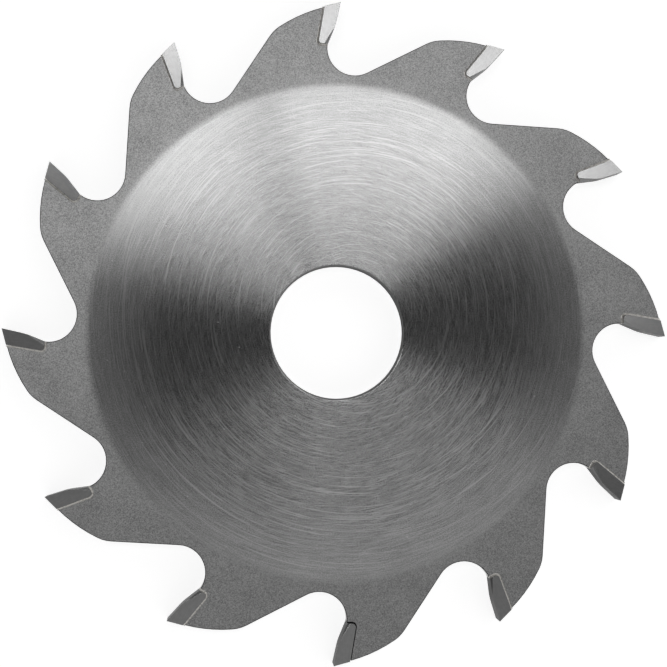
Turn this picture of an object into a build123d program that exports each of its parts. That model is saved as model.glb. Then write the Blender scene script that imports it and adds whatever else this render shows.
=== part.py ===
from build123d import *
import os
from math import acos, degrees, radians, tan

# Grooving saw blade: a flat steel disc with twelve teeth, each with a carbide
# cutting tip brazed into a seat in its front. Millimetres. The origin is the
# centre of the bore, halfway through the disc. +Z runs along the bore, and the
# first tooth points along +Y. Seen from +Z the blade cuts clockwise.

# Disc
cutting_diameter = 150.0  # over the cutting edges of the tips
body_thickness = 3.5
bore_diameter = 30.0
bore_chamfer = 0.3
tooth_count = 12

# Carbide tip, as ground
kerf = 6.0  # width of the cutting edge, and of the groove it cuts
rake_angle = 12.0  # lean of the front face from the radius
face_depth = 5.0  # from the cutting edge down to where the front face bends
face_bend = 9.5  # turn of the front face there, towards the gullet
face_blend = 12.0  # radius of that bend
clearance_angle = 15.0  # fall of the top face behind the cutting edge
tip_depth = 9.5  # from the cutting edge down to the foot of the tip
tip_top = 3.8  # from the cutting edge back to the heel
tip_back_angle = 9.0  # lean of the brazed back face from the radius
tip_corner_radius = 0.8  # rounded corner at the foot of the back face
radial_relief = 1.0  # angle at which the sides close in towards the bore
tangential_relief = 2.5  # and towards the heel
facet_height = 3.5  # corner facet low on the front, from the foot up
facet_width = 0.8  # and along the foot
facet_angle = 25.0  # lean of the facet from the ground side
braze_thickness = 0.15  # solder between the tip and its seat

# Tooth body
shoulder_drop = 6.65  # shoulder below the cutting edge, along the radius
shoulder_reach = 15.2  # shoulder behind the cutting edge, across the radius
shoulder_blend = 8.0
gullet_depth = 16.4  # floor of the gullet below the cutting circle
gullet_radius = 6.25

cutting_radius = cutting_diameter / 2
pitch_angle = 360 / tooth_count
same_place = 0.001  # points closer than this are one point

# Points of the first tooth: it points along +Y, and its back is towards -X
cutting_edge = Vector(0, cutting_radius)
heel = cutting_edge + Vector(-tip_top, 0).rotate(Axis.Z, clearance_angle)
foot_height = cutting_radius - tip_depth
bend_fall = face_depth * tan(radians(rake_angle))
face_end = cutting_edge - Vector(bend_fall, face_depth)
foot_fall = (tip_depth - face_depth) * tan(radians(rake_angle + face_bend))
foot_front = Vector(face_end.X - foot_fall, foot_height)
back_lean = (heel.Y - foot_height) * tan(radians(tip_back_angle))
foot_back = Vector(heel.X - back_lean, foot_height)
shoulder = Vector(-shoulder_reach, cutting_radius - shoulder_drop)
facet_rise = facet_height * tan(radians(rake_angle + face_bend))
facet_top = foot_front + Vector(facet_rise, facet_height)
facet_foot = foot_front - Vector(facet_width, 0)

# The gullet's circle passes through the foot of the next tooth's tip and
# touches the circle of the gullet floors, which places its centre
next_edge = cutting_edge.rotate(Axis.Z, pitch_angle)
next_face_end = face_end.rotate(Axis.Z, pitch_angle)
next_foot = foot_front.rotate(Axis.Z, pitch_angle)
centre_radius = cutting_radius - gullet_depth + gullet_radius
foot_radius = foot_front.length
foot_to_centre = degrees(
    acos(
        (foot_radius**2 + centre_radius**2 - gullet_radius**2)
        / (2 * foot_radius * centre_radius)
    )
)
gullet_centre = (next_foot.normalized() * centre_radius).rotate(Axis.Z, -foot_to_centre)

# From one cutting edge to the next: top of the tip, relieved back, shoulder,
# straight back, gullet, and the front of the next tooth
with BuildLine() as tooth_line:
    top = Line(cutting_edge, heel)
    TangentArc(heel, shoulder, tangent=top % 1)
    gullet_circle = CenterArc(gullet_centre, gullet_radius, 0, 360, mode=Mode.PRIVATE)
    back = ConstrainedLines(
        gullet_circle,
        shoulder,
        selector=lambda lines: lines.sort_by_distance((0, 0))[0],
    )
    back_end = Vector(back.vertices().sort_by_distance(gullet_centre)[0])
    TangentArc(back_end, next_foot, tangent=back_end - shoulder)
    Polyline(next_foot, next_face_end, next_edge)

# The whole toothed outline, tips included
with BuildSketch() as toothed_outline:
    with BuildLine():
        with PolarLocations(0, tooth_count):
            add(tooth_line.line)
    make_face()
    shoulders = toothed_outline.vertices().filter_by(
        lambda vertex: abs(Vector(vertex).length - shoulder.length) < same_place
    )
    fillet(shoulders, radius=shoulder_blend)
    bends = toothed_outline.vertices().filter_by(
        lambda vertex: abs(Vector(vertex).length - face_end.length) < same_place
    )
    fillet(bends, radius=face_blend)

with BuildSketch() as tip_outline:
    with BuildLine():
        Polyline(cutting_edge, heel, foot_back, foot_front, face_end, close=True)
    make_face()
    foot_corner = tip_outline.vertices().group_by(Axis.Y)[0].sort_by(Axis.X)[0]
    fillet(foot_corner, radius=tip_corner_radius)
    bend = tip_outline.vertices().sort_by_distance(face_end)[0]
    fillet(bend, radius=face_blend)

# The seat leaves room for the solder all round the tip
with BuildSketch() as seat_outline:
    add(tip_outline.sketch)
    offset(amount=braze_thickness, kind=Kind.INTERSECTION)

# The solder fills the seat wherever the tip leaves room
with BuildSketch() as seam_outline:
    add(seat_outline.sketch)
    add(toothed_outline.sketch, mode=Mode.INTERSECT)
    add(tip_outline.sketch, mode=Mode.SUBTRACT)

os.makedirs("parts", exist_ok=True)

# Steel disc: outline with its seats, bore and broken bore edges
with BuildPart() as saw_body:
    with BuildSketch():
        add(toothed_outline.sketch)
        with PolarLocations(0, tooth_count):
            add(seat_outline.sketch, mode=Mode.SUBTRACT)
    extrude(amount=body_thickness / 2, both=True)
    Hole(radius=bore_diameter / 2)
    bore_rims = saw_body.edges(Select.LAST).filter_by(GeomType.CIRCLE)
    chamfer(bore_rims, length=bore_chamfer)
saw_body.part.label = "saw_body"
export_step(saw_body.part, "parts/saw_body.step")

# Side of a tip, ground back in both directions from the corner of the cutting
# edge. The corner facet is that plane, turned down about its own upper edge
ground_side = Plane(
    origin=(0, cutting_radius, kerf / 2),
    z_dir=(-tan(radians(tangential_relief)), -tan(radians(radial_relief)), 1),
)
facet_start, facet_end = (
    Axis(origin=(point.X, point.Y, 0), direction=(0, 0, 1)).intersect(ground_side)
    for point in (facet_foot, facet_top)
)
facet_edge = Axis(origin=facet_start, direction=facet_end - facet_start)
corner_facet = Plane(
    origin=facet_start,
    z_dir=ground_side.z_dir.rotate(facet_edge, facet_angle),
)

# One tip: half the kerf, cut by both planes, then mirrored to the other side
with BuildPart() as tip:
    with BuildSketch():
        add(tip_outline.sketch)
    extrude(amount=kerf / 2)
    split(bisect_by=ground_side, keep=Keep.BOTTOM)
    split(bisect_by=corner_facet, keep=Keep.BOTTOM)
    mirror(about=Plane.XY)

# One seam, flush with both faces of the disc
with BuildPart() as seam:
    with BuildSketch():
        add(seam_outline.sketch)
    extrude(amount=body_thickness / 2, both=True)

# A tip and its seam for each tooth, numbered counter-clockwise from +Y
for number, place in enumerate(PolarLocations(0, tooth_count), start=1):
    with BuildPart() as carbide_tip:
        with Locations(place):
            add(tip.part)
    carbide_tip.part.label = f"carbide_tip_{number:02d}"
    export_step(carbide_tip.part, f"parts/{carbide_tip.part.label}.step")

    with BuildPart() as braze_seam:
        with Locations(place):
            add(seam.part)
    braze_seam.part.label = f"braze_seam_{number:02d}"
    export_step(braze_seam.part, f"parts/{braze_seam.part.label}.step")
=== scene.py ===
"""Grooving saw blade: its looks, studio and camera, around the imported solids.

Everything is in metres, in the frame of the solids: the bore runs along Z, the
first tooth points along +Y, and the blade rests on the side faces of its tips.
"""

import logging
import math
from abc import ABC, abstractmethod
from collections.abc import Iterable
from dataclasses import dataclass
from enum import Enum

import bpy
from mathutils import Matrix, Vector, noise


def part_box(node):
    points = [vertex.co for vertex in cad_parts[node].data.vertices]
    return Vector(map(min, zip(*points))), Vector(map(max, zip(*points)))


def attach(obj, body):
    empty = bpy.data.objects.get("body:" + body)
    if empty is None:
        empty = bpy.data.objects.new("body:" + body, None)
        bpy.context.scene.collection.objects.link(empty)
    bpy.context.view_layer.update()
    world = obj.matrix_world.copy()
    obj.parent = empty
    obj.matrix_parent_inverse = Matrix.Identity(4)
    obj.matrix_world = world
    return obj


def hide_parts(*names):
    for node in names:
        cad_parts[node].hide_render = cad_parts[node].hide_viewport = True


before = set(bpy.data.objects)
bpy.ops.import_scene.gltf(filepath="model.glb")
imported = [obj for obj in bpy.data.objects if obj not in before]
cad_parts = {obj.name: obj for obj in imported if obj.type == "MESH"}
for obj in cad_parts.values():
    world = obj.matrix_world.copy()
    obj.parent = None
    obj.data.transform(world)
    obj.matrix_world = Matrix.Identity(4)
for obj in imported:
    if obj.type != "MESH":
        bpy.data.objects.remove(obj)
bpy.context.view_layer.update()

MM = 0.001
TOOTH_COUNT = 12
BODY = "root"

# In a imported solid, points nearer than this are one point, and faces that turn
# by less than this are one face
SAME_POINT = 0.002 * MM
SAME_FACE = math.radians(0.3)

# A noise lies about this mean, and nearly all of it lies in this range
NOISE_MEAN = 0.5
NOISE_RANGE = (0.3, 0.7)

logging.basicConfig(level=logging.INFO, format="%(message)s")
report = logging.getLogger("blade")

# What the input of a node takes: an output of another node, or a constant
Socket = bpy.types.NodeSocket
Feed = Socket | float | tuple[float, ...]


class Slot(Enum):
    """Material slots of the record."""

    STEEL = "saw_steel"
    CARBIDE = "carbide"
    SOLDER = "silver_solder"


class Maths(Enum):
    """Operations of the Math node that the finishes use."""

    ADD = "ADD"
    SUBTRACT = "SUBTRACT"
    MULTIPLY = "MULTIPLY"


class VectorMaths(Enum):
    """Operations of the Vector Math node that the finishes use."""

    ADD = "ADD"
    SUBTRACT = "SUBTRACT"
    MULTIPLY = "MULTIPLY"
    NORMALIZE = "NORMALIZE"
    LENGTH = "LENGTH"
    DOT_PRODUCT = "DOT_PRODUCT"

    @property
    def result(self) -> str:
        """Names the output of the node that holds the result."""
        return "Value" if self in (VectorMaths.LENGTH, VectorMaths.DOT_PRODUCT) else "Vector"


def neutral(level: float) -> tuple[float, float, float, float]:
    """Returns the grey of a brightness as a constant colour."""
    return (level, level, level, 1.0)


class Graph:
    """A node tree that is filled from the patterns of a finish to its shader."""

    def __init__(self, tree: bpy.types.NodeTree) -> None:
        """Empties a node tree and keeps it.

        Args:
            tree: Node tree of a material or a world.
        """
        self.tree = tree
        self.tree.nodes.clear()

    def node(
        self, kind: str, inputs: dict[str | int, Feed] | None = None, **settings: object
    ) -> bpy.types.Node:
        """Adds a node, sets it up and feeds its inputs.

        Args:
            kind: Blender's name for the node type.
            inputs: A constant or a socket for each named or numbered input.
            **settings: The node's own properties.

        Returns:
            The new node.
        """
        added = self.tree.nodes.new(kind)
        for name, value in settings.items():
            setattr(added, name, value)
        for name, value in (inputs or {}).items():
            self.feed(added.inputs[name], value)
        return added

    def feed(self, target: Socket, value: Feed) -> None:
        """Links a socket to an input, or sets the input to a constant.

        Args:
            target: The input.
            value: The socket or the constant.
        """
        if isinstance(value, Socket):
            self.tree.links.new(value, target)
        else:
            target.default_value = value

    def place(self) -> Socket:
        """Returns the place on the piece, in metres."""
        return self.node("ShaderNodeTexCoord").outputs["Object"]

    def maths(self, operation: Maths, first: Feed, second: Feed) -> Socket:
        """Returns the result of a Math node on two numbers."""
        return self.node("ShaderNodeMath", {0: first, 1: second}, operation=operation.value).outputs[0]

    def blend(self, *shares: tuple[Feed, float]) -> Socket:
        """Adds up values, each times its share.

        Args:
            *shares: Pairs of a value and its share.

        Returns:
            The sum.
        """
        total: Feed = 0.0
        for value, share in shares:
            total = self.maths(Maths.ADD, total, self.maths(Maths.MULTIPLY, value, share))
        return total

    def vector(self, operation: VectorMaths, *vectors: Feed) -> Socket:
        """Works on one or two vectors.

        Args:
            operation: What is done with them.
            *vectors: The vectors.

        Returns:
            The resulting vector, or the number where the operation gives one.
        """
        node = self.node("ShaderNodeVectorMath", dict(enumerate(vectors)), operation=operation.value)
        return node.outputs[operation.result]

    def scaled(self, vector: Feed, factor: Feed) -> Socket:
        """Returns a vector times a number."""
        inputs = {0: vector, "Scale": factor}
        return self.node("ShaderNodeVectorMath", inputs, operation="SCALE").outputs["Vector"]

    def noise(self, place: Feed, detail: float, roughness: float = 0.5) -> Socket:
        """Returns noise of about one feature per unit of its place, from 0 to 1."""
        inputs = {"Vector": place, "Scale": 1.0, "Detail": detail, "Roughness": roughness}
        return self.node("ShaderNodeTexNoise", inputs).outputs["Fac"]

    def grain(self, place: Feed, size: float, detail: float, roughness: float = 0.5) -> Socket:
        """Returns noise with features of a size in metres, from 0 to 1."""
        return self.noise(self.scaled(place, 1 / size), detail, roughness)

    def lines(
        self, place: Feed, changes: tuple[float, float, float], detail: float, roughness: float = 0.5
    ) -> Socket:
        """Draws noise out into lines.

        Args:
            place: Place that the noise follows, in metres.
            changes: How often it changes in each metre along X, Y and Z.
            detail: Detail of the noise.
            roughness: Roughness of the noise.

        Returns:
            Noise from 0 to 1.
        """
        return self.noise(self.vector(VectorMaths.MULTIPLY, place, changes), detail, roughness)

    def ramp(self, value: Feed, start: float, end: float, low: Feed = 0.0, high: Feed = 1.0) -> Socket:
        """Maps a number to a smooth step.

        Args:
            value: Number that is mapped.
            start: Value at which the step starts.
            end: Value at which the step ends.
            low: Result up to the start.
            high: Result from the end on.

        Returns:
            The mapped number.
        """
        inputs = {"Value": value, "From Min": start, "From Max": end, "To Min": low, "To Max": high}
        return self.node("ShaderNodeMapRange", inputs, interpolation_type="SMOOTHSTEP").outputs["Result"]

    def following(self, pattern: Feed, low: float, high: float) -> Socket:
        """Returns a number that follows a noise, from low in its troughs to high on its crests."""
        return self.ramp(pattern, *NOISE_RANGE, low, high)

    def grey(self, level: Feed) -> Socket:
        """Returns a neutral colour of a brightness."""
        inputs = {"Red": level, "Green": level, "Blue": level}
        return self.node("ShaderNodeCombineColor", inputs).outputs["Color"]

    def shaded(self, grey: float, shades: tuple[float, float], pattern: Feed) -> Socket:
        """Varies a neutral colour with a noise.

        Args:
            grey: The colour's brightness.
            shades: Its darkest and lightest place, as factors of that brightness.
            pattern: The noise.

        Returns:
            The varied colour.
        """
        darkest, lightest = (grey * shade for shade in shades)
        return self.grey(self.following(pattern, darkest, lightest))

    def bump(self, height: Feed, depth: float) -> Socket:
        """Returns the normal of a surface whose height map spans a depth in metres."""
        return self.node("ShaderNodeBump", {"Height": height, "Distance": depth}).outputs["Normal"]

    def metal(self, colour: Feed, roughness: float, **inputs: Feed) -> Socket:
        """Adds a metal shader.

        Args:
            colour: Base colour.
            roughness: Roughness.
            **inputs: Other inputs of the Principled shader, with _ for a space.

        Returns:
            The shader's output.
        """
        values: dict[str | int, Feed] = {"Base Color": colour, "Roughness": roughness, "Metallic": 1.0}
        values.update({name.replace("_", " "): value for name, value in inputs.items()})
        return self.node("ShaderNodeBsdfPrincipled", values).outputs["BSDF"]

    def mixed(self, share: Feed, first: Socket, second: Socket) -> Socket:
        """Returns a mix of two shaders, with a share of the second."""
        return self.node("ShaderNodeMixShader", {0: share, 1: first, 2: second}).outputs[0]


@dataclass(frozen=True)
class Polar:
    """Place round a centre on the disc: distance from it, and direction away from it."""

    radius: Socket
    outward: Socket

    @classmethod
    def of(cls, graph: Graph, centre: tuple[float, float] = (0.0, 0.0)) -> "Polar":
        """Reads the place from Object coordinates.

        Args:
            graph: Graph that the nodes go in.
            centre: The centre, in metres from the axis of the bore.

        Returns:
            The place.
        """
        moved = graph.vector(VectorMaths.SUBTRACT, graph.place(), (*centre, 0.0))
        flat = graph.vector(VectorMaths.MULTIPLY, moved, (1.0, 1.0, 0.0))
        return cls(graph.vector(VectorMaths.LENGTH, flat), graph.vector(VectorMaths.NORMALIZE, flat))


@dataclass(frozen=True)
class Grooves:
    """Grinding marks: noise that is drawn out along circles.

    Attributes:
        width: Width of a groove, in metres.
        arcs: How often a groove changes in each radian.
        detail: Detail of the noise.
        share: What the marks count for in their pattern.
        centre: Centre of the circles, in metres from the axis of the bore.
    """

    width: float
    arcs: float
    detail: float
    share: float
    centre: tuple[float, float] = (0.0, 0.0)

    def noise(self, graph: Graph) -> Socket:
        """Draws the marks.

        Args:
            graph: Graph that the nodes go in.

        Returns:
            Noise from 0 to 1.
        """
        polar = Polar.of(graph, self.centre)
        across = graph.maths(Maths.MULTIPLY, polar.radius, 1 / self.width)
        rings = graph.node("ShaderNodeCombineXYZ", {"Z": across}).outputs["Vector"]
        along = graph.scaled(polar.outward, self.arcs)
        return graph.noise(graph.vector(VectorMaths.ADD, along, rings), self.detail)


@dataclass(frozen=True)
class Finish(ABC):
    """A finish, which is one material."""

    name: str

    @abstractmethod
    def shader(self, graph: Graph) -> Socket:
        """Fills a graph with the finish.

        Args:
            graph: Graph that the nodes go in.

        Returns:
            The finish's shader.
        """

    def material(self) -> bpy.types.Material:
        """Makes the finish's material.

        Returns:
            The material.
        """
        material = bpy.data.materials.new(self.name)
        material.use_nodes = True
        graph = Graph(material.node_tree)
        output = graph.node("ShaderNodeOutputMaterial", {"Surface": self.shader(graph)})
        output.is_active_output = True
        return material


@dataclass(frozen=True)
class DiscFace(Finish):
    """Side faces of the disc: a hub ground in circles, and blasted teeth round it."""

    name: str = "disc_face"

    # Radii over which the hub gives way to blasted steel: most of it at the hub's edge,
    # and the last share over a wider ring. Inside the edge, blasted steel shows as
    # pits, more of them towards the rim, and as nicks
    hub_edge: tuple[float, float] = (55.1 * MM, 57.2 * MM)
    overspray: tuple[float, float] = (55.5 * MM, 61.0 * MM)
    overspray_share: float = 0.1
    pitted: tuple[float, float] = (36.0 * MM, 75.0 * MM)
    pitted_share: float = 0.6
    nick: float = 0.8 * MM
    nick_level: tuple[float, float] = (0.84, 0.87)
    nick_share: float = 0.7

    # The ground steel, brighter towards the rim: a polished layer and a scuffed one
    ground_grey: float = 0.55
    rim_gain: float = 1.35
    anisotropy: float = 0.97
    streak_slope: float = 0.01
    polished_roughness: float = 0.149
    polished_contrast: float = 0.27
    scuffed_roughness: float = 0.3
    scuffed_contrast: float = 0.9
    scuffed_share: float = 0.28

    # The streaks on it, which swing about a plain level and are calmer at the rim
    coarse: Grooves = Grooves(width=0.27 * MM, arcs=5.0, detail=1.0, share=0.35)
    fine: Grooves = Grooves(width=0.2 * MM, arcs=18.0, detail=1.0, share=0.35)
    swirl: Grooves = Grooves(
        width=0.24 * MM, arcs=9.0, detail=1.0, share=0.3, centre=(-3.0 * MM, 1.6 * MM)
    )
    groove_swing: float = 0.68
    calm_rim: tuple[float, float] = (38.0 * MM, 57.0 * MM)
    rim_calm: float = 0.6
    plain_level: float = 0.34
    speckle: float = 0.22 * MM
    speckle_share: float = 0.3
    scratches: Grooves = Grooves(
        width=0.2 * MM, arcs=2.5, detail=0.0, share=0.2, centre=(4.0 * MM, 5.0 * MM)
    )
    scratch_level: tuple[float, float] = (0.64, 0.78)

    # The blasted steel
    blasted_grey: float = 0.436
    blasted_shades: tuple[float, float] = (0.58, 1.42)
    blasted_roughness: float = 0.396
    grain: float = 0.23 * MM
    grain_depth: float = 0.01 * MM
    cloud: float = 6.0 * MM
    cloud_share: float = 0.12

    def streaks(self, graph: Graph, polar: Polar) -> Socket:
        """Draws the marks of the grinding: grooves, some off centre, specks and scratches.

        Args:
            graph: Graph that the nodes go in.
            polar: Place round the bore.

        Returns:
            The pattern, with about the mean and the range of a noise.
        """
        layers = (self.coarse, self.fine, self.swirl)
        grooves = graph.blend(*((layer.noise(graph), layer.share) for layer in layers))
        least_swing = self.groove_swing * self.rim_calm
        swing = graph.ramp(polar.radius, *self.calm_rim, self.groove_swing, least_swing)
        specks = graph.grain(graph.place(), self.speckle, detail=0.0)
        scratches = graph.ramp(self.scratches.noise(graph), *self.scratch_level)
        return graph.blend(
            (graph.maths(Maths.MULTIPLY, graph.maths(Maths.SUBTRACT, grooves, NOISE_MEAN), swing), 1.0),
            (self.plain_level, 1.0),
            (specks, self.speckle_share),
            (scratches, self.scratches.share),
        )

    def ground(self, graph: Graph, polar: Polar) -> Socket:
        """Makes the hub's steel, which spreads light across its grooves.

        Args:
            graph: Graph that the nodes go in.
            polar: Place round the bore.

        Returns:
            The shader.
        """
        streaks = self.streaks(graph, polar)
        slope = graph.following(streaks, self.streak_slope, -self.streak_slope)
        upright = graph.node("ShaderNodeNewGeometry").outputs["Normal"]
        tilted = graph.vector(VectorMaths.ADD, upright, graph.scaled(polar.outward, slope))
        normal = graph.vector(VectorMaths.NORMALIZE, tilted)
        rim_grey = self.ground_grey * self.rim_gain
        grey = graph.ramp(polar.radius, *self.pitted, self.ground_grey, rim_grey)
        layers = []
        for roughness, contrast in (
            (self.polished_roughness, self.polished_contrast),
            (self.scuffed_roughness, self.scuffed_contrast),
        ):
            gain = graph.following(streaks, 1 - contrast, 1 + contrast)
            layer = graph.metal(
                graph.grey(graph.maths(Maths.MULTIPLY, grey, gain)),
                roughness,
                Anisotropic=self.anisotropy,
                Tangent=polar.outward,
                Normal=normal,
            )
            layers.append(layer)
        return graph.mixed(self.scuffed_share, *layers)

    def blasted(self, graph: Graph) -> Socket:
        """Makes the steel of the blasted teeth, which has a fine even grain.

        Args:
            graph: Graph that the nodes go in.

        Returns:
            The shader.
        """
        grain = graph.grain(graph.place(), self.grain, detail=3.0, roughness=0.6)
        clouds = graph.grain(graph.place(), self.cloud, detail=3.0)
        tone = graph.blend((grain, 1 - self.cloud_share), (clouds, self.cloud_share))
        colour = graph.shaded(self.blasted_grey, self.blasted_shades, tone)
        return graph.metal(colour, self.blasted_roughness, Normal=graph.bump(grain, self.grain_depth))

    def shader(self, graph: Graph) -> Socket:
        """Puts the blasted steel round the ground hub, and in its pits and nicks.

        Args:
            graph: Graph that the nodes go in.

        Returns:
            The finish's shader.
        """
        polar = Polar.of(graph)
        outside = graph.blend(
            (graph.ramp(polar.radius, *self.hub_edge), 1 - self.overspray_share),
            (graph.ramp(polar.radius, *self.overspray), self.overspray_share),
        )
        blasted = self.blasted(graph)
        nicks = graph.ramp(graph.grain(graph.place(), self.nick, detail=0.0), *self.nick_level)
        pits = graph.blend(
            (graph.ramp(polar.radius, *self.pitted), self.pitted_share),
            (nicks, self.nick_share),
        )
        hub = graph.mixed(pits, self.ground(graph, polar), blasted)
        return graph.mixed(outside, hub, blasted)


@dataclass(frozen=True)
class CutEdge(Finish):
    """Walls of the teeth and gullets, with the lines that the cutting left across them."""

    name: str = "cut_edge"
    grey: float = 0.42
    shades: tuple[float, float] = (0.75, 1.1)
    roughness: float = 0.42
    line_width: float = 0.14 * MM
    changes_along: float = 150.0  # how often a line changes in each metre
    line_depth: float = 0.02 * MM

    def shader(self, graph: Graph) -> Socket:
        """Fills a graph with the finish.

        Args:
            graph: Graph that the nodes go in.

        Returns:
            The finish's shader.
        """
        changes_across = 1 / self.line_width
        changes = (changes_across, changes_across, self.changes_along)
        lines = graph.lines(graph.place(), changes, detail=3.0, roughness=0.6)
        colour = graph.shaded(self.grey, self.shades, lines)
        return graph.metal(colour, self.roughness, Normal=graph.bump(lines, self.line_depth))


@dataclass(frozen=True)
class PaintedShadeEdge(Finish):
    """Broken edges of the disc, painted near black: painted shade that draws a dark outline round the
    disc.
    """

    name: str = "painted_shade_edge"
    # Painted shade: the near-black grey and the low tint at grazing angles keep the broken edges dark as
    # a shaded outline
    grey: float = 0.05
    shades: tuple[float, float] = (0.6, 1.6)
    edge_tint: float = 0.1
    roughness: float = 0.45
    spot: float = 0.5 * MM
    spot_depth: float = 0.01 * MM

    def shader(self, graph: Graph) -> Socket:
        """Fills a graph with the finish.

        Args:
            graph: Graph that the nodes go in.

        Returns:
            The finish's shader.
        """
        spots = graph.grain(graph.place(), self.spot, detail=2.0)
        colour = graph.shaded(self.grey, self.shades, spots)
        normal = graph.bump(spots, self.spot_depth)
        return graph.metal(colour, self.roughness, Normal=normal, Specular_Tint=neutral(self.edge_tint))


@dataclass(frozen=True)
class BoreSteelPaintedShade(Finish):
    """Wall of the bore, with the fine rings of its boring tool, painted dark as painted shade."""

    name: str = "bored_steel_painted_shade"
    # Painted shade: the dark grey and the low tint at grazing angles keep the wall as dark as the shade
    # in the bore
    grey: float = 0.2
    shades: tuple[float, float] = (0.85, 1.05)
    edge_tint: float = 0.1
    roughness: float = 0.35
    ring_pitch: float = 0.12 * MM
    changes_along: float = 120.0  # how often a ring changes in each metre
    ring_depth: float = 0.008 * MM

    def shader(self, graph: Graph) -> Socket:
        """Fills a graph with the finish.

        Args:
            graph: Graph that the nodes go in.

        Returns:
            The finish's shader.
        """
        changes = (self.changes_along, self.changes_along, 1 / self.ring_pitch)
        rings = graph.lines(graph.place(), changes, detail=2.0)
        colour = graph.shaded(self.grey, self.shades, rings)
        normal = graph.bump(rings, self.ring_depth)
        return graph.metal(colour, self.roughness, Normal=normal, Specular_Tint=neutral(self.edge_tint))


@dataclass(frozen=True)
class GroundCarbide(Finish):
    """Ground carbide of the tips, with faint lines down the tooth and a mottled grain."""

    name: str = "ground_carbide"
    grey: float = 0.46
    shades: tuple[float, float] = (0.9, 1.06)
    edge_tint: float = 1.0
    roughness: float = 0.2
    dull_roughness: float = 0.32
    dull_share: float = 0.3
    frame_name: str = "tooth_frame"
    line_width: float = 0.15 * MM
    changes_along: float = 300.0  # how often a line changes in each metre
    line_share: float = 0.5
    mottle: float = 0.9 * MM
    depth: float = 0.0005 * MM

    def shader(self, graph: Graph) -> Socket:
        """Fills a graph with the finish, on the place that each point has on the first tooth.

        Args:
            graph: Graph that the nodes go in.

        Returns:
            The finish's shader.
        """
        place = graph.node("ShaderNodeAttribute", attribute_name=self.frame_name).outputs["Vector"]
        changes = (1 / self.line_width, self.changes_along, self.changes_along)
        lines = graph.lines(place, changes, detail=2.0)
        mottle = graph.grain(place, self.mottle, detail=3.0)
        tone = graph.blend((lines, self.line_share), (mottle, 1 - self.line_share))
        colour = graph.shaded(self.grey, self.shades, tone)
        edge = neutral(self.edge_tint)
        normal = graph.bump(tone, self.depth)
        polished = graph.metal(colour, self.roughness, Normal=normal, Specular_Tint=edge)
        dull = graph.metal(colour, self.dull_roughness, Specular_Tint=edge)
        return graph.mixed(self.dull_share, polished, dull)


@dataclass(frozen=True)
class SilverSolder(Finish):
    """Silver solder, which set with a smooth, slightly uneven skin and dull patches."""

    name: str = "silver_solder"
    bright: tuple[float, float, float, float] = (0.64, 0.625, 0.595, 1.0)
    dull: tuple[float, float, float, float] = (0.34, 0.325, 0.305, 1.0)
    dull_level: tuple[float, float] = (0.42, 0.75)
    roughness: float = 0.3
    patch: float = 0.5 * MM
    patch_depth: float = 0.03 * MM

    def shader(self, graph: Graph) -> Socket:
        """Fills a graph with the finish.

        Args:
            graph: Graph that the nodes go in.

        Returns:
            The finish's shader.
        """
        skin = graph.grain(graph.place(), self.patch, detail=3.0)
        shares = {"Factor": graph.ramp(skin, *self.dull_level), "A": self.bright, "B": self.dull}
        colour = graph.node("ShaderNodeMix", shares, data_type="RGBA").outputs["Result"]
        return graph.metal(colour, self.roughness, Normal=graph.bump(skin, self.patch_depth))


@dataclass(frozen=True)
class StudioFloor(Finish):
    """White floor that keeps the shadow of what stands on it."""

    name: str = "studio_floor"
    grey: float = 0.6
    glow: float = 0.78

    def shader(self, graph: Graph) -> Socket:
        """Makes a pale floor that the camera, metal and glass see as white.

        Args:
            graph: Graph that the nodes go in.

        Returns:
            The finish's shader.
        """
        ray = graph.node("ShaderNodeLightPath").outputs
        seen = graph.maths(Maths.ADD, ray["Is Camera Ray"], ray["Is Glossy Ray"])
        seen = graph.maths(Maths.ADD, seen, ray["Is Transmission Ray"])
        paint = graph.node("ShaderNodeBsdfDiffuse", {"Color": neutral(self.grey)}).outputs["BSDF"]
        strength = graph.maths(Maths.MULTIPLY, seen, self.glow)
        light = graph.node("ShaderNodeEmission", {"Strength": strength}).outputs["Emission"]
        return graph.node("ShaderNodeAddShader", {0: paint, 1: light}).outputs["Shader"]


def only(piece: bpy.types.Object) -> None:
    """Makes a piece the only one selected, and the active one.

    Args:
        piece: The piece.
    """
    bpy.ops.object.select_all(action="DESELECT")
    piece.select_set(True)
    bpy.context.view_layer.objects.active = piece


def link(name: str, data: bpy.types.ID) -> bpy.types.Object:
    """Puts a mesh, curve, lamp or camera in the scene.

    Args:
        name: Name of the new object.
        data: What the object holds.

    Returns:
        The object.
    """
    piece = bpy.data.objects.new(name, data)
    bpy.context.scene.collection.objects.link(piece)
    return piece


def merged_copy(node: str, name: str) -> bpy.types.Object:
    """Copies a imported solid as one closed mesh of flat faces.

    Args:
        node: The solid's name.
        name: Name of the copy.

    Returns:
        The copy, with its own mesh and no material.
    """
    piece = link(name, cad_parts[node].data.copy())
    piece.data.materials.clear()
    only(piece)
    bpy.ops.object.mode_set(mode="EDIT")
    bpy.ops.mesh.select_all(action="SELECT")
    bpy.ops.mesh.remove_doubles(threshold=SAME_POINT)
    bpy.ops.mesh.customdata_custom_splitnormals_clear()
    bpy.ops.mesh.dissolve_limited(angle_limit=SAME_FACE)
    bpy.ops.object.mode_set(mode="OBJECT")
    return piece


def unite(piece: bpy.types.Object, other: bpy.types.Object) -> None:
    """Joins a second closed piece to a piece, as one closed mesh, and removes the second.

    Args:
        piece: The piece that stays.
        other: The piece that it takes in.
    """
    only(piece)
    union = piece.modifiers.new("union", "BOOLEAN")
    union.operation = "UNION"
    union.solver = "EXACT"
    union.object = other
    bpy.ops.object.modifier_apply(modifier=union.name)
    bpy.data.objects.remove(other)


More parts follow.
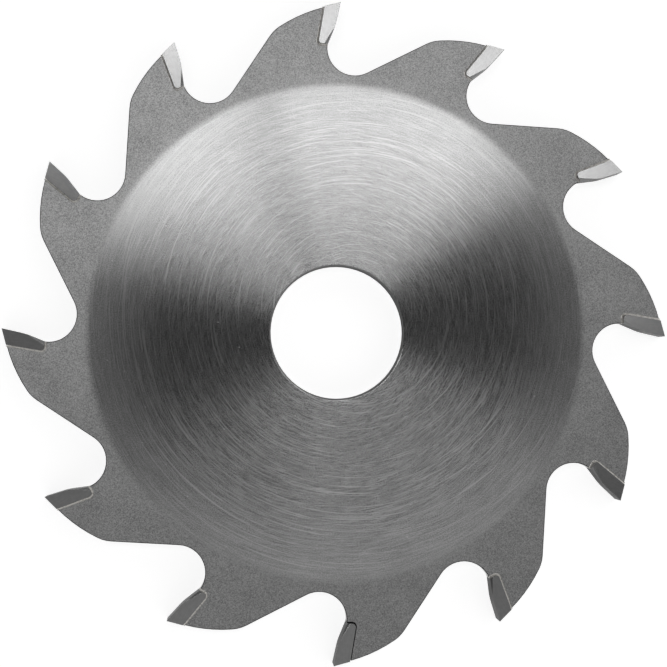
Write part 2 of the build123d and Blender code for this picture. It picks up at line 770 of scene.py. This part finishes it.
def break_edges(piece: bpy.types.Object, width: float, sharp: float, steps: int = 2) -> None:
    """Rounds the sharp edges of a piece and smooths the rest.

    Args:
        piece: The piece.
        width: Width of the rounding, in metres.
        sharp: Edges that turn by more than this, in degrees, are sharp.
        steps: Faces across the rounding.
    """
    only(piece)
    bevel = piece.modifiers.new("broken_edges", "BEVEL")
    bevel.width = width
    bevel.segments = steps
    bevel.limit_method = "ANGLE"
    bevel.angle_limit = math.radians(sharp)
    bpy.ops.object.modifier_apply(modifier=bevel.name)
    bpy.ops.object.shade_smooth_by_angle(angle=math.radians(sharp))
    weights = piece.modifiers.new("flat_faces", "WEIGHTED_NORMAL")
    weights.keep_sharp = True
    bpy.ops.object.modifier_apply(modifier=weights.name)


class Zone(Enum):
    """Parts of the disc's surface, each with the number of its material."""

    FACE = 0
    WALL = 1
    BORE = 2
    BROKEN_EDGE = 3


@dataclass
class SawDisc:
    """The steel disc with its teeth, seats and bore."""

    node: str = "saw_body"
    edge_break: float = 0.18 * MM
    sharp: float = 30.0  # degrees
    bore_reach: float = 15.5 * MM  # radius inside which a wall is the bore's
    face: DiscFace = DiscFace()
    wall: CutEdge = CutEdge()
    # The bore's wall gets painted shade: a dark steel with a low tint at grazing angles
    bore: BoreSteelPaintedShade = BoreSteelPaintedShade()
    # The broken edges get painted shade: a near-black finish that draws a dark outline
    broken_edge: PaintedShadeEdge = PaintedShadeEdge()

    # How much a normal points along the bore at least, on a side face and on a broken edge
    flat_from: float = 0.95
    slanted_from: float = 0.1

    def build(self) -> bpy.types.Object:
        """Models and dresses the disc.

        Returns:
            The finished disc.
        """
        disc = merged_copy(self.node, "saw_disc")
        break_edges(disc, self.edge_break, self.sharp)
        self.dress(disc)
        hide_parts(self.node)
        return disc

    def zone(self, polygon: bpy.types.MeshPolygon) -> Zone:
        """Tells which part of the surface a face of the mesh belongs to.

        Args:
            polygon: The face.

        Returns:
            The part.
        """
        along_bore = abs(polygon.normal.z)
        if along_bore > self.flat_from:
            return Zone.FACE
        if polygon.center.xy.length < self.bore_reach:
            return Zone.BORE
        if along_bore > self.slanted_from:
            return Zone.BROKEN_EDGE
        return Zone.WALL

    def dress(self, disc: bpy.types.Object) -> None:
        """Gives each face of the disc its finish.

        Args:
            disc: The modelled disc.
        """
        finishes = {
            Zone.FACE: self.face,
            Zone.WALL: self.wall,
            Zone.BORE: self.bore,
            Zone.BROKEN_EDGE: self.broken_edge,
        }
        for zone in Zone:
            disc.data.materials.append(finishes[zone].material())
        for polygon in disc.data.polygons:
            polygon.material_index = self.zone(polygon).value


@dataclass
class ToothSet:
    """A piece that every tooth has, modelled on the first tooth."""

    node_stem: str
    name_stem: str

    def node(self, number: int) -> str:
        """Returns the name of a tooth's solid."""
        return f"{self.node_stem}_{number:02d}"

    def name(self, number: int) -> str:
        """Returns the name of a tooth's finished piece."""
        return f"{self.name_stem}_{number:02d}"

    def seat(self, piece: bpy.types.Object, number: int) -> None:
        """Turns a piece of the first tooth to its own tooth, in place of the solid there."""
        piece.data.transform(Matrix.Rotation(math.tau * (number - 1) / TOOTH_COUNT, 4, "Z"))
        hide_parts(self.node(number))


@dataclass
class CarbideTips(ToothSet):
    """The cutting tips."""

    node_stem: str = "carbide_tip"
    name_stem: str = "tip"
    edge_break: float = 0.05 * MM
    sharp: float = 18.0  # degrees
    sides: GroundCarbide = GroundCarbide()
    # Painted shade: the front faces get a darker copy of the carbide, with a low tint at grazing angles,
    # so that they stay dark
    front: GroundCarbide = GroundCarbide(name="ground_front_painted_shade", grey=0.25, edge_tint=0.2)
    front_from: float = 0.7  # least X of the normal of a front face

    def build(self) -> list[bpy.types.Object]:
        """Models and dresses the tips.

        Returns:
            The finished tips.
        """
        first = merged_copy(self.node(1), self.name(1))
        break_edges(first, self.edge_break, self.sharp)
        self.mark_frame(first)
        self.dress(first)
        copies = [link(self.name(number), first.data.copy()) for number in range(2, TOOTH_COUNT + 1)]
        tips = [first, *copies]
        for number, tip in enumerate(tips, start=1):
            self.seat(tip, number)
        return tips

    def mark_frame(self, tip: bpy.types.Object) -> None:
        """Keeps each point's place on the first tooth, which the grinding lines follow.

        Args:
            tip: The first tip.
        """
        marks = tip.data.attributes.new(self.sides.frame_name, "FLOAT_VECTOR", "POINT")
        for mark, vertex in zip(marks.data, tip.data.vertices):
            mark.vector = vertex.co

    def dress(self, tip: bpy.types.Object) -> None:
        """Gives the sides of the first tip their finish, and its front a darker copy of it as painted
        shade.

        Args:
            tip: The first tip.
        """
        for finish in (self.sides, self.front):
            tip.data.materials.append(finish.material())
        for polygon in tip.data.polygons:
            polygon.material_index = int(polygon.normal.x > self.front_from)


@dataclass
class SolderSeams(ToothSet):
    """The solder between the tips and their seats, with a fillet on both faces."""

    node_stem: str = "braze_seam"
    name_stem: str = "solder"
    tip_node: str = "carbide_tip_01"
    disc_node: str = "saw_body"
    fillet_width: float = 0.45 * MM
    fillet_height: float = 0.45 * MM
    fillet_steps: int = 8
    sunk: float = 0.04 * MM
    line_cuts: int = 2  # in each edge of the line that the fillet follows
    weld: float = 0.001 * MM  # points of a fillet nearer than this are merged
    sharp: float = 40.0  # degrees
    finish: SilverSolder = SilverSolder()

    # The fillet swells and thins with a noise, which is shifted for each tooth and each face
    unevenness: float = 0.3
    lump_length: float = 1.6 * MM
    tooth_shift: float = 7.3
    face_shift: float = 3.1

    # A face of the tip is part of its back or foot if its normal stays below this,
    # in X, in Y, and in Z either way
    facing: float = 0.5

    def build(self) -> list[bpy.types.Object]:
        """Models and dresses the seams.

        Returns:
            The finished seams.
        """
        section = self.fillet_section()
        path = self.back_line()
        skin = self.finish.material()
        seams = []
        for number in range(1, TOOTH_COUNT + 1):
            seam = merged_copy(self.node(1), self.name(number))
            for side in (1, -1):
                unite(seam, self.fillet(section, path, number, side))
            only(seam)
            bpy.ops.object.shade_smooth_by_angle(angle=math.radians(self.sharp))
            seam.data.materials.append(skin)
            self.seat(seam, number)
            seams.append(seam)
        for drawing in (section, path):
            bpy.data.objects.remove(drawing)
        return seams

    def fillet_section(self) -> bpy.types.Object:
        """Draws the hollow section of the fillet, with its corner against the tip at the origin.

        Returns:
            The section as a closed flat curve.
        """
        quarter_turn = math.pi / 2
        turns = [quarter_turn * step / self.fillet_steps for step in range(self.fillet_steps + 1)]
        hollow = [
            (self.fillet_width * (1 - math.sin(turn)), self.fillet_height * (1 - math.cos(turn)))
            for turn in turns
        ]
        sunk_corner = [
            (-self.sunk, self.fillet_height),
            (-self.sunk, -self.sunk),
            (self.fillet_width, -self.sunk),
        ]
        points = [*hollow, *sunk_corner]
        drawing = bpy.data.curves.new("fillet_section", "CURVE")
        outline = drawing.splines.new("POLY")
        outline.points.add(len(points) - 1)
        for point, (across, up) in zip(outline.points, points):
            point.co = (across, up, 0.0, 1.0)
        outline.use_cyclic_u = True
        return link("fillet_section", drawing)

    def back_line(self) -> bpy.types.Object:
        """Takes the line along the back and foot of the first tip, at the face of the disc.

        Returns:
            The line as a mesh of edges.
        """
        line = merged_copy(self.tip_node, "back_line")
        mesh = line.data
        behind = {
            edge
            for polygon in mesh.polygons
            if max(polygon.normal.xy) < self.facing and abs(polygon.normal.z) < self.facing
            for edge in polygon.edge_keys
        }
        bpy.ops.object.mode_set(mode="EDIT")
        bpy.ops.mesh.select_mode(type="EDGE")
        bpy.ops.mesh.select_all(action="DESELECT")
        bpy.ops.object.mode_set(mode="OBJECT")
        for edge in mesh.edges:
            ends = [mesh.vertices[index].co for index in edge.vertices]
            edge.select = edge.key in behind and min(end.z for end in ends) > 0
        bpy.ops.object.mode_set(mode="EDIT")
        bpy.ops.mesh.select_all(action="INVERT")
        bpy.ops.mesh.delete(type="EDGE")
        bpy.ops.mesh.select_all(action="SELECT")
        bpy.ops.mesh.subdivide(number_cuts=self.line_cuts)
        bpy.ops.object.mode_set(mode="OBJECT")
        disc_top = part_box(self.disc_node)[1][2]
        for vertex in mesh.vertices:
            vertex.co.z = disc_top
        return line

    def fillet(
        self, section: bpy.types.Object, path: bpy.types.Object, number: int, side: int
    ) -> bpy.types.Object:
        """Runs a fillet down the back of the tip and along its foot.

        Args:
            section: The fillet's section.
            path: The line that its corner follows, as a mesh of edges.
            number: The tooth, which sets how unevenly the solder ran.
            side: 1 for the upper face of the disc, -1 for the lower one.

        Returns:
            The fillet as a closed mesh, on the first tooth.
        """
        only(link("fillet", path.data.copy()))
        bpy.ops.object.convert(target="CURVE")
        line = bpy.context.object.data
        line.twist_mode = "Z_UP"
        line.bevel_mode = "OBJECT"
        line.bevel_object = section
        line.use_fill_caps = True
        shift = Vector((self.tooth_shift * number, 0.0, self.face_shift * side))
        for point in line.splines[0].points:
            lump = noise.noise(point.co.xyz / self.lump_length + shift)
            point.radius = 1.0 + self.unevenness * lump
        bpy.ops.object.convert(target="MESH")
        bead = bpy.context.object
        if side < 0:
            bead.data.transform(Matrix.Diagonal((1.0, 1.0, -1.0, 1.0)))
        bpy.ops.object.mode_set(mode="EDIT")
        bpy.ops.mesh.select_all(action="SELECT")
        bpy.ops.mesh.remove_doubles(threshold=self.weld)
        bpy.ops.mesh.normals_make_consistent(inside=False)
        bpy.ops.object.mode_set(mode="OBJECT")
        return bead


@dataclass(frozen=True)
class Softbox:
    """A soft lamp that hangs level over the blade and shines down."""

    name: str
    left: float
    right: float
    near: float
    far: float
    radiance: float
    height: float = 1.0

    def hang(self) -> None:
        """Adds the lamp."""
        width = self.right - self.left
        depth = self.far - self.near
        lamp = bpy.data.lights.new(self.name, "AREA")
        lamp.shape = "RECTANGLE"
        lamp.size = width
        lamp.size_y = depth
        lamp.energy = self.radiance * math.pi * width * depth
        hung = link(self.name, lamp)
        hung.location = (self.left + width / 2, self.near + depth / 2, self.height)


@dataclass
class Studio:
    """Floor, lamps, sky and camera."""

    floor_height: float = -3.0 * MM
    floor_radius: float = 3.0
    floor_sides: int = 96
    lamps: tuple[Softbox, ...] = (
        Softbox("softbox_left", left=-0.496, right=-0.006, near=0.139, far=0.301, radiance=2.73),
        Softbox("softbox_right", left=0.006, right=0.228, near=0.139, far=0.301, radiance=2.73),
        Softbox("fill", left=-0.7, right=0.9, near=-1.2, far=-0.15, radiance=0.27),
        Softbox("side", left=0.03, right=0.3, near=-0.15, far=-0.07, radiance=0.25),
        Softbox("corner", left=0.3, right=0.65, near=0.22, far=0.6, radiance=1.1),
    )

    # Brightness of walls and ceiling, and the heights of a unit direction between which
    # the walls give way to the ceiling
    wall_level: float = 1.0
    ceiling_level: float = 0.055
    ceiling_edge: tuple[float, float] = (0.35, 0.85)

    # The dark wall: the direction towards it, its shade, how nearly a unit direction
    # points that way at its sides, and the heights between which it begins
    dark_wall: tuple[float, float, float] = (-0.98, 0.2, 0.0)
    dark_wall_shade: float = 0.3
    dark_wall_sides: tuple[float, float] = (0.25, 0.7)
    dark_wall_foot: tuple[float, float] = (0.1, 0.22)

    # The camera looks at the middle of the bore, and its direction is as seen from there
    camera_direction: tuple[float, float, float] = (-25.8, -11.2, 399.0)
    camera_distance: float = 0.4
    camera_roll: float = 0.61  # degrees
    focal_length: float = 95.0  # millimetres, as the sensor's width
    sensor_width: float = 36.0
    shift: tuple[float, float] = (-0.0045, -0.0012)  # of the lens, in widths of the sensor
    clip_start: float = 0.01

    def build(self) -> None:
        """Sets up the whole studio."""
        self.lay_floor()
        for lamp in self.lamps:
            lamp.hang()
        self.light_sky()
        self.place_camera()
        bpy.context.scene.view_settings.view_transform = "Standard"

    def lay_floor(self) -> None:
        """Lays a round floor under the blade."""
        bpy.ops.mesh.primitive_circle_add(
            vertices=self.floor_sides,
            radius=self.floor_radius,
            fill_type="NGON",
            location=(0.0, 0.0, self.floor_height),
        )
        floor = bpy.context.object
        floor.name = "floor"
        floor.data.materials.append(StudioFloor().material())

    def light_sky(self) -> None:
        """Lights the room, which has white walls, a dark one on the left, and a dark ceiling."""
        world = bpy.data.worlds.new("room")
        bpy.context.scene.world = world
        world.use_nodes = True
        graph = Graph(world.node_tree)
        direction = graph.node("ShaderNodeTexCoord").outputs["Generated"]
        height = graph.node("ShaderNodeSeparateXYZ", {0: direction}).outputs["Z"]
        level = graph.ramp(height, *self.ceiling_edge, self.wall_level, self.ceiling_level)
        leftward = graph.vector(VectorMaths.DOT_PRODUCT, direction, self.dark_wall)
        foot = graph.ramp(height, *self.dark_wall_foot, 1.0, self.dark_wall_shade)
        shade = graph.ramp(leftward, *self.dark_wall_sides, 1.0, foot)
        strength = graph.maths(Maths.MULTIPLY, level, shade)
        sky = graph.node("ShaderNodeBackground", {"Strength": strength}).outputs["Background"]
        graph.node("ShaderNodeOutputWorld", {"Surface": sky})

    def place_camera(self) -> None:
        """Places the camera as in the photograph, with its slight turn."""
        place = Vector(self.camera_direction).normalized() * self.camera_distance
        ahead = -place.normalized()
        level_right = ahead.cross(Vector((0.0, 1.0, 0.0))).normalized()
        level_up = level_right.cross(ahead)
        turn = math.radians(self.camera_roll)
        right = level_right * math.cos(turn) + level_up * math.sin(turn)
        up = level_up * math.cos(turn) - level_right * math.sin(turn)
        lens = bpy.data.cameras.new("camera")
        lens.lens = self.focal_length
        lens.sensor_width = self.sensor_width
        lens.shift_x, lens.shift_y = self.shift
        lens.clip_start = self.clip_start
        camera = link("camera", lens)
        axes = Matrix((right, up, -ahead)).transposed().to_4x4()
        camera.matrix_world = Matrix.Translation(place) @ axes
        bpy.context.scene.camera = camera


def mount(pieces: Iterable[bpy.types.Object], slot: Slot) -> None:
    """Fixes finished pieces to the blade and reports them.

    Args:
        pieces: The pieces.
        slot: The record's slot of the pieces; it is not used.
    """
    for piece in pieces:
        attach(piece, BODY)
        report.info("%s: %d faces", piece.name, len(piece.data.polygons))


def main() -> None:
    """Builds the blade and its studio."""
    mount([SawDisc().build()], Slot.STEEL)
    mount(CarbideTips().build(), Slot.CARBIDE)
    mount(SolderSeams().build(), Slot.SOLDER)
    Studio().build()


if __name__ == "__main__":
    main()
